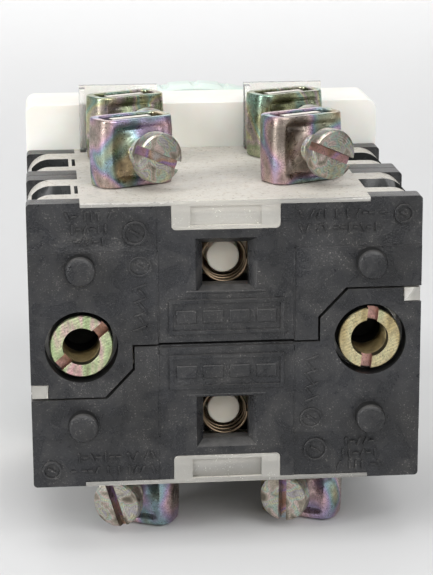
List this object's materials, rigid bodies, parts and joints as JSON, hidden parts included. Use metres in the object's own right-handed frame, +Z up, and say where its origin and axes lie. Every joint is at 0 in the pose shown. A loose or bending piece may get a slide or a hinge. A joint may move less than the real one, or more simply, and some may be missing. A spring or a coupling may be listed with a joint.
{
  "type": "push-button contact block stack",
  "caption": "Square-base push-button operator with stacked interlocking contact blocks, double-break contacts and swivelled wire clamps, seen from its wiring side.",
  "frame": {"origin": "on the operator's axis, at the seat that its square base makes for the front panel", "axes": "+Y along the operator's axis towards the button, so the contact blocks hang towards -Y; +Z up to the upper terminals; +X to the right as the wiring side is seen"},
  "size_m": [0.045, 0.0544, 0.049],
  "materials": {
    "black_plastic": "satin, dusty",
    "clear_plastic": "clear, dusty",
    "ivory_plastic": "satin",
    "pale_green_plastic": "satin",
    "white_nylon": "satin",
    "clamp_plating": "iridescent passivated plating",
    "screw_plating": "iridescent passivated plating",
    "sleeve_plating": "yellow passivated plating",
    "contact_copper": "bright",
    "spring_steel": "bright",
    "gasket_rubber": "matte"
  },
  "bodies": {
    "outer_upper_plunger": {"outer_upper_plunger": "white_nylon", "outer_upper_contact_spring": "spring_steel"},
    "outer_upper_bridge": {"outer_upper_bridge": "contact_copper"},
    "outer_lower_plunger": {"outer_lower_plunger": "white_nylon", "outer_lower_contact_spring": "spring_steel"},
    "outer_lower_bridge": {"outer_lower_bridge": "contact_copper"},
    "inner_upper_plunger": {"inner_upper_plunger": "white_nylon", "inner_upper_contact_spring": "spring_steel"},
    "inner_upper_bridge": {"inner_upper_bridge": "contact_copper"},
    "inner_lower_plunger": {"inner_lower_plunger": "white_nylon", "inner_lower_contact_spring": "spring_steel"},
    "inner_lower_bridge": {"inner_lower_bridge": "contact_copper"},
    "stack": {"outer_upper_cover": "black_plastic", "outer_upper_housing": "clear_plastic", "outer_upper_base_plate": "black_plastic", "outer_upper_return_spring": "spring_steel", "outer_upper_fixed_contacts": "contact_copper", "outer_lower_cover": "black_plastic", "outer_lower_housing": "clear_plastic", "outer_lower_base_plate": "black_plastic", "outer_lower_return_spring": "spring_steel", "outer_lower_fixed_contacts": "contact_copper", "inner_upper_cover": "black_plastic", "inner_upper_housing": "clear_plastic", "inner_upper_base_plate": "black_plastic", "inner_upper_return_spring": "spring_steel", "inner_upper_fixed_contacts": "contact_copper", "inner_lower_cover": "black_plastic", "inner_lower_housing": "clear_plastic", "inner_lower_base_plate": "black_plastic", "inner_lower_return_spring": "spring_steel", "inner_lower_fixed_contacts": "contact_copper", "outer_mounting_sleeves": "sleeve_plating", "inner_mounting_sleeves": "sleeve_plating", "operator_base": "ivory_plastic", "base_inserts": "sleeve_plating", "threaded_neck": "black_plastic", "panel_gasket": "gasket_rubber", "bezel_ring": "pale_green_plastic", "button_spring": "spring_steel"},
    "outer_upper_left_clamp": {"outer_upper_left_clamp": "clamp_plating"},
    "outer_upper_left_screw": {"outer_upper_left_screw": "screw_plating"},
    "outer_upper_right_clamp": {"outer_upper_right_clamp": "clamp_plating"},
    "outer_upper_right_screw": {"outer_upper_right_screw": "screw_plating"},
    "outer_lower_right_clamp": {"outer_lower_right_clamp": "clamp_plating"},
    "outer_lower_right_screw": {"outer_lower_right_screw": "screw_plating"},
    "outer_lower_left_clamp": {"outer_lower_left_clamp": "clamp_plating"},
    "outer_lower_left_screw": {"outer_lower_left_screw": "screw_plating"},
    "inner_upper_left_clamp": {"inner_upper_left_clamp": "clamp_plating"},
    "inner_upper_left_screw": {"inner_upper_left_screw": "screw_plating"},
    "inner_upper_right_clamp": {"inner_upper_right_clamp": "clamp_plating"},
    "inner_upper_right_screw": {"inner_upper_right_screw": "screw_plating"},
    "inner_lower_right_clamp": {"inner_lower_right_clamp": "clamp_plating"},
    "inner_lower_right_screw": {"inner_lower_right_screw": "screw_plating"},
    "inner_lower_left_clamp": {"inner_lower_left_clamp": "clamp_plating"},
    "inner_lower_left_screw": {"inner_lower_left_screw": "screw_plating"},
    "button": {"button_cap": "pale_green_plastic", "actuator": "white_nylon"}
  },
  "joints": [
    {"name": "button_press", "type": "slide", "parent": "stack", "child": "button", "axis": [0, -1, 0], "range_m": [0, 0.0038], "stiffness_N_per_m": 400, "springref_m": -0.003, "deforming": ["button_spring"]},
    {"name": "outer_upper_plunger_slide", "type": "slide", "parent": "stack", "child": "outer_upper_plunger", "axis": [0, -1, 0], "range_m": [0, 0.0038], "stiffness_N_per_m": 120, "springref_m": -0.002, "deforming": ["outer_upper_return_spring"]},
    {"name": "outer_upper_bridge_slide", "type": "slide", "parent": "outer_upper_plunger", "child": "outer_upper_bridge", "axis": [0, -1, 0], "range_m": [-0.0007, 0], "stiffness_N_per_m": 150, "springref_m": 0.0006, "deforming": ["outer_upper_contact_spring"]},
    {"name": "outer_upper_left_screw_turn", "type": "hinge", "parent": "stack", "child": "outer_upper_left_screw", "pos_m": [-0.0099, -0.03185, 0.02035], "axis": [0.4384, -0.8988, 0], "range_deg": [-360, 480]},
    {"name": "outer_upper_left_clamp_slide", "type": "slide", "parent": "stack", "child": "outer_upper_left_clamp", "axis": [0.4384, -0.8988, 0], "range_m": [-0.0008, 0.0006]},
    {"name": "outer_upper_right_screw_turn", "type": "hinge", "parent": "stack", "child": "outer_upper_right_screw", "pos_m": [0.00965, -0.03185, 0.02035], "axis": [0.4384, -0.8988, 0], "range_deg": [-360, 480]},
    {"name": "outer_upper_right_clamp_slide", "type": "slide", "parent": "stack", "child": "outer_upper_right_clamp", "axis": [0.4384, -0.8988, 0], "range_m": [-0.0008, 0.0006]},
    {"name": "outer_lower_plunger_slide", "type": "slide", "parent": "stack", "child": "outer_lower_plunger", "axis": [0, -1, 0], "range_m": [0, 0.0038], "stiffness_N_per_m": 120, "springref_m": -0.002, "deforming": ["outer_lower_return_spring"]},
    {"name": "outer_lower_bridge_slide", "type": "slide", "parent": "outer_lower_plunger", "child": "outer_lower_bridge", "axis": [0, -1, 0], "range_m": [-0.0007, 0], "stiffness_N_per_m": 150, "springref_m": 0.0006, "deforming": ["outer_lower_contact_spring"]},
    {"name": "outer_lower_right_screw_turn", "type": "hinge", "parent": "stack", "child": "outer_lower_right_screw", "pos_m": [0.0099, -0.03185, -0.02035], "axis": [-0.4384, -0.8988, 0], "range_deg": [-360, 480]},
    {"name": "outer_lower_right_clamp_slide", "type": "slide", "parent": "stack", "child": "outer_lower_right_clamp", "axis": [-0.4384, -0.8988, 0], "range_m": [-0.0008, 0.0006]},
    {"name": "outer_lower_left_screw_turn", "type": "hinge", "parent": "stack", "child": "outer_lower_left_screw", "pos_m": [-0.00965, -0.03185, -0.02035], "axis": [-0.4384, -0.8988, 0], "range_deg": [-360, 480]},
    {"name": "outer_lower_left_clamp_slide", "type": "slide", "parent": "stack", "child": "outer_lower_left_clamp", "axis": [-0.4384, -0.8988, 0], "range_m": [-0.0008, 0.0006]},
    {"name": "inner_upper_plunger_slide", "type": "slide", "parent": "stack", "child": "inner_upper_plunger", "axis": [0, -1, 0], "range_m": [0, 0.0038], "stiffness_N_per_m": 120, "springref_m": -0.002, "deforming": ["inner_upper_return_spring"]},
    {"name": "inner_upper_bridge_slide", "type": "slide", "parent": "inner_upper_plunger", "child": "inner_upper_bridge", "axis": [0, -1, 0], "range_m": [-0.0007, 0], "stiffness_N_per_m": 150, "springref_m": 0.0006, "deforming": ["inner_upper_contact_spring"]},
    {"name": "inner_upper_left_screw_turn", "type": "hinge", "parent": "stack", "child": "inner_upper_left_screw", "pos_m": [-0.0099, -0.01555, 0.02035], "axis": [0.4384, -0.8988, 0], "range_deg": [-360, 480]},
    {"name": "inner_upper_left_clamp_slide", "type": "slide", "parent": "stack", "child": "inner_upper_left_clamp", "axis": [0.4384, -0.8988, 0], "range_m": [-0.0008, 0.0006]},
    {"name": "inner_upper_right_screw_turn", "type": "hinge", "parent": "stack", "child": "inner_upper_right_screw", "pos_m": [0.00965, -0.01555, 0.02035], "axis": [0.4384, -0.8988, 0], "range_deg": [-360, 480]},
    {"name": "inner_upper_right_clamp_slide", "type": "slide", "parent": "stack", "child": "inner_upper_right_clamp", "axis": [0.4384, -0.8988, 0], "range_m": [-0.0008, 0.0006]},
    {"name": "inner_lower_plunger_slide", "type": "slide", "parent": "stack", "child": "inner_lower_plunger", "axis": [0, -1, 0], "range_m": [0, 0.0038], "stiffness_N_per_m": 120, "springref_m": -0.002, "deforming": ["inner_lower_return_spring"]},
    {"name": "inner_lower_bridge_slide", "type": "slide", "parent": "inner_lower_plunger", "child": "inner_lower_bridge", "axis": [0, -1, 0], "range_m": [-0.0007, 0], "stiffness_N_per_m": 150, "springref_m": 0.0006, "deforming": ["inner_lower_contact_spring"]},
    {"name": "inner_lower_right_screw_turn", "type": "hinge", "parent": "stack", "child": "inner_lower_right_screw", "pos_m": [0.0099, -0.01555, -0.02035], "axis": [-0.4384, -0.8988, 0], "range_deg": [-360, 480]},
    {"name": "inner_lower_right_clamp_slide", "type": "slide", "parent": "stack", "child": "inner_lower_right_clamp", "axis": [-0.4384, -0.8988, 0], "range_m": [-0.0008, 0.0006]},
    {"name": "inner_lower_left_screw_turn", "type": "hinge", "parent": "stack", "child": "inner_lower_left_screw", "pos_m": [-0.00965, -0.01555, -0.02035], "axis": [-0.4384, -0.8988, 0], "range_deg": [-360, 480]},
    {"name": "inner_lower_left_clamp_slide", "type": "slide", "parent": "stack", "child": "inner_lower_left_clamp", "axis": [-0.4384, -0.8988, 0], "range_m": [-0.0008, 0.0006]}
  ],
  "couplings": [
    {"joint": "outer_upper_plunger_slide", "follows": "button_press", "ratio": 1},
    {"joint": "outer_upper_bridge_slide", "follows": "button_press", "ratio": -0.18},
    {"joint": "outer_upper_left_screw_turn", "follows": "outer_upper_left_clamp_slide", "rad_per_m": -10472},
    {"joint": "outer_upper_right_screw_turn", "follows": "outer_upper_right_clamp_slide", "rad_per_m": -10472},
    {"joint": "outer_lower_plunger_slide", "follows": "button_press", "ratio": 1},
    {"joint": "outer_lower_bridge_slide", "follows": "button_press", "ratio": -0.18},
    {"joint": "outer_lower_right_screw_turn", "follows": "outer_lower_right_clamp_slide", "rad_per_m": -10472},
    {"joint": "outer_lower_left_screw_turn", "follows": "outer_lower_left_clamp_slide", "rad_per_m": -10472},
    {"joint": "inner_upper_plunger_slide", "follows": "button_press", "ratio": 1},
    {"joint": "inner_upper_bridge_slide", "follows": "button_press", "ratio": -0.18},
    {"joint": "inner_upper_left_screw_turn", "follows": "inner_upper_left_clamp_slide", "rad_per_m": -10472},
    {"joint": "inner_upper_right_screw_turn", "follows": "inner_upper_right_clamp_slide", "rad_per_m": -10472},
    {"joint": "inner_lower_plunger_slide", "follows": "button_press", "ratio": 1},
    {"joint": "inner_lower_bridge_slide", "follows": "button_press", "ratio": -0.18},
    {"joint": "inner_lower_right_screw_turn", "follows": "inner_lower_right_clamp_slide", "rad_per_m": -10472},
    {"joint": "inner_lower_left_screw_turn", "follows": "inner_lower_left_clamp_slide", "rad_per_m": -10472}
  ]
}
